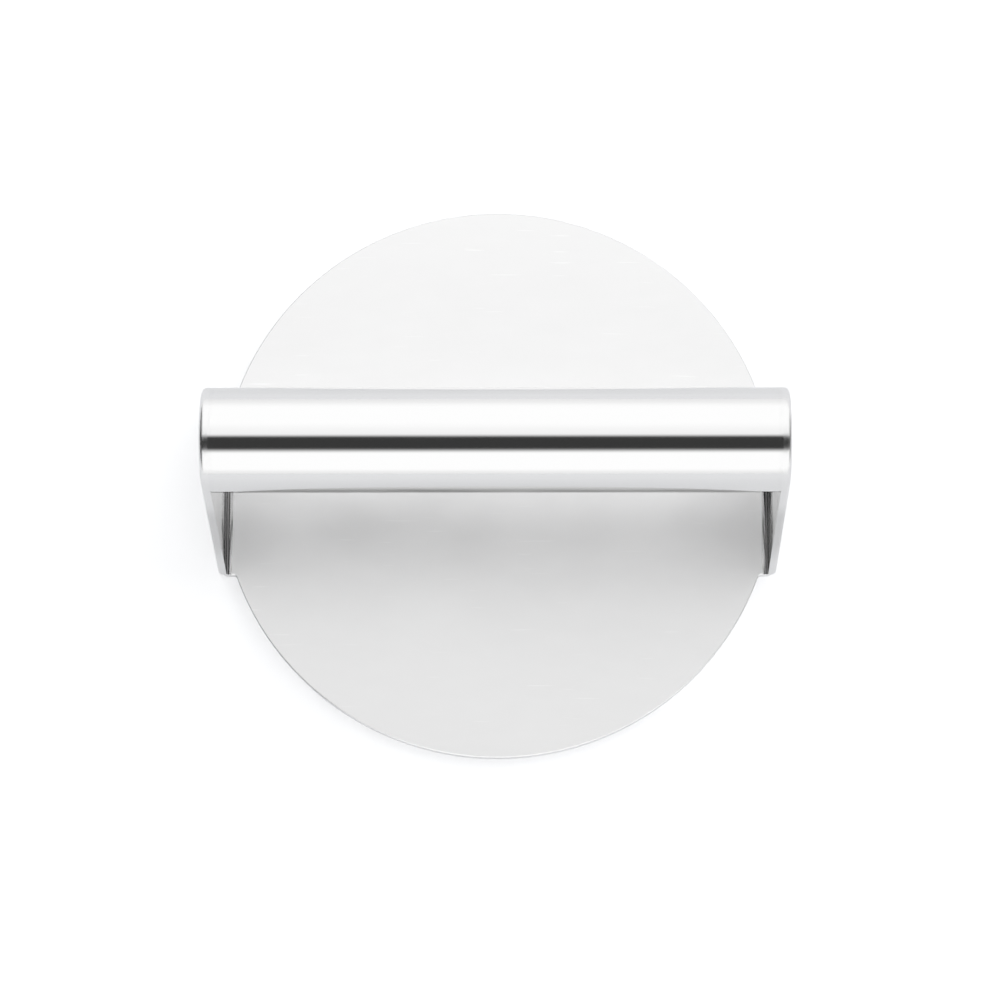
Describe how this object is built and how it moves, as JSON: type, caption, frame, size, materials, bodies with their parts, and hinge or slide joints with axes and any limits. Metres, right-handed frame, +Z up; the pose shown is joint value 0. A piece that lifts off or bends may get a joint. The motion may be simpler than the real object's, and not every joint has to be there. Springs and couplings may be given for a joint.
{
  "type": "smash burger press",
  "caption": "Round flat steel plate with a horizontal tube handle across it, carried on tapered side legs, for pressing burger patties thin on a griddle.",
  "frame": {"origin": "middle of the working face, which is the underside of the plate", "axes": "+Z up from the working face, +X along the handle tube, +Y to the back"},
  "size_m": [0.1526, 0.152, 0.0762],
  "materials": {
    "brushed_plate": "cold-rolled stainless sheet with a fine brushed finish",
    "polished_tube": "stainless tube, mirror polished",
    "satin_leg": "stainless sheet, polished faces with softened edges",
    "polished_weld": "stainless fillet weld, ground hollow and polished",
    "ground_weld": "stainless weld, ground flush and linished"
  },
  "bodies": {
    "root": {"base_plate": "brushed_plate", "handle_tube": "polished_tube", "left_leg": "satin_leg", "right_leg": "satin_leg", "left_foot_weld": "polished_weld", "right_foot_weld": "polished_weld", "left_seam_weld": "ground_weld", "right_seam_weld": "ground_weld", "left_tube_weld": "ground_weld", "right_tube_weld": "ground_weld"}
  },
  "joints": []
}
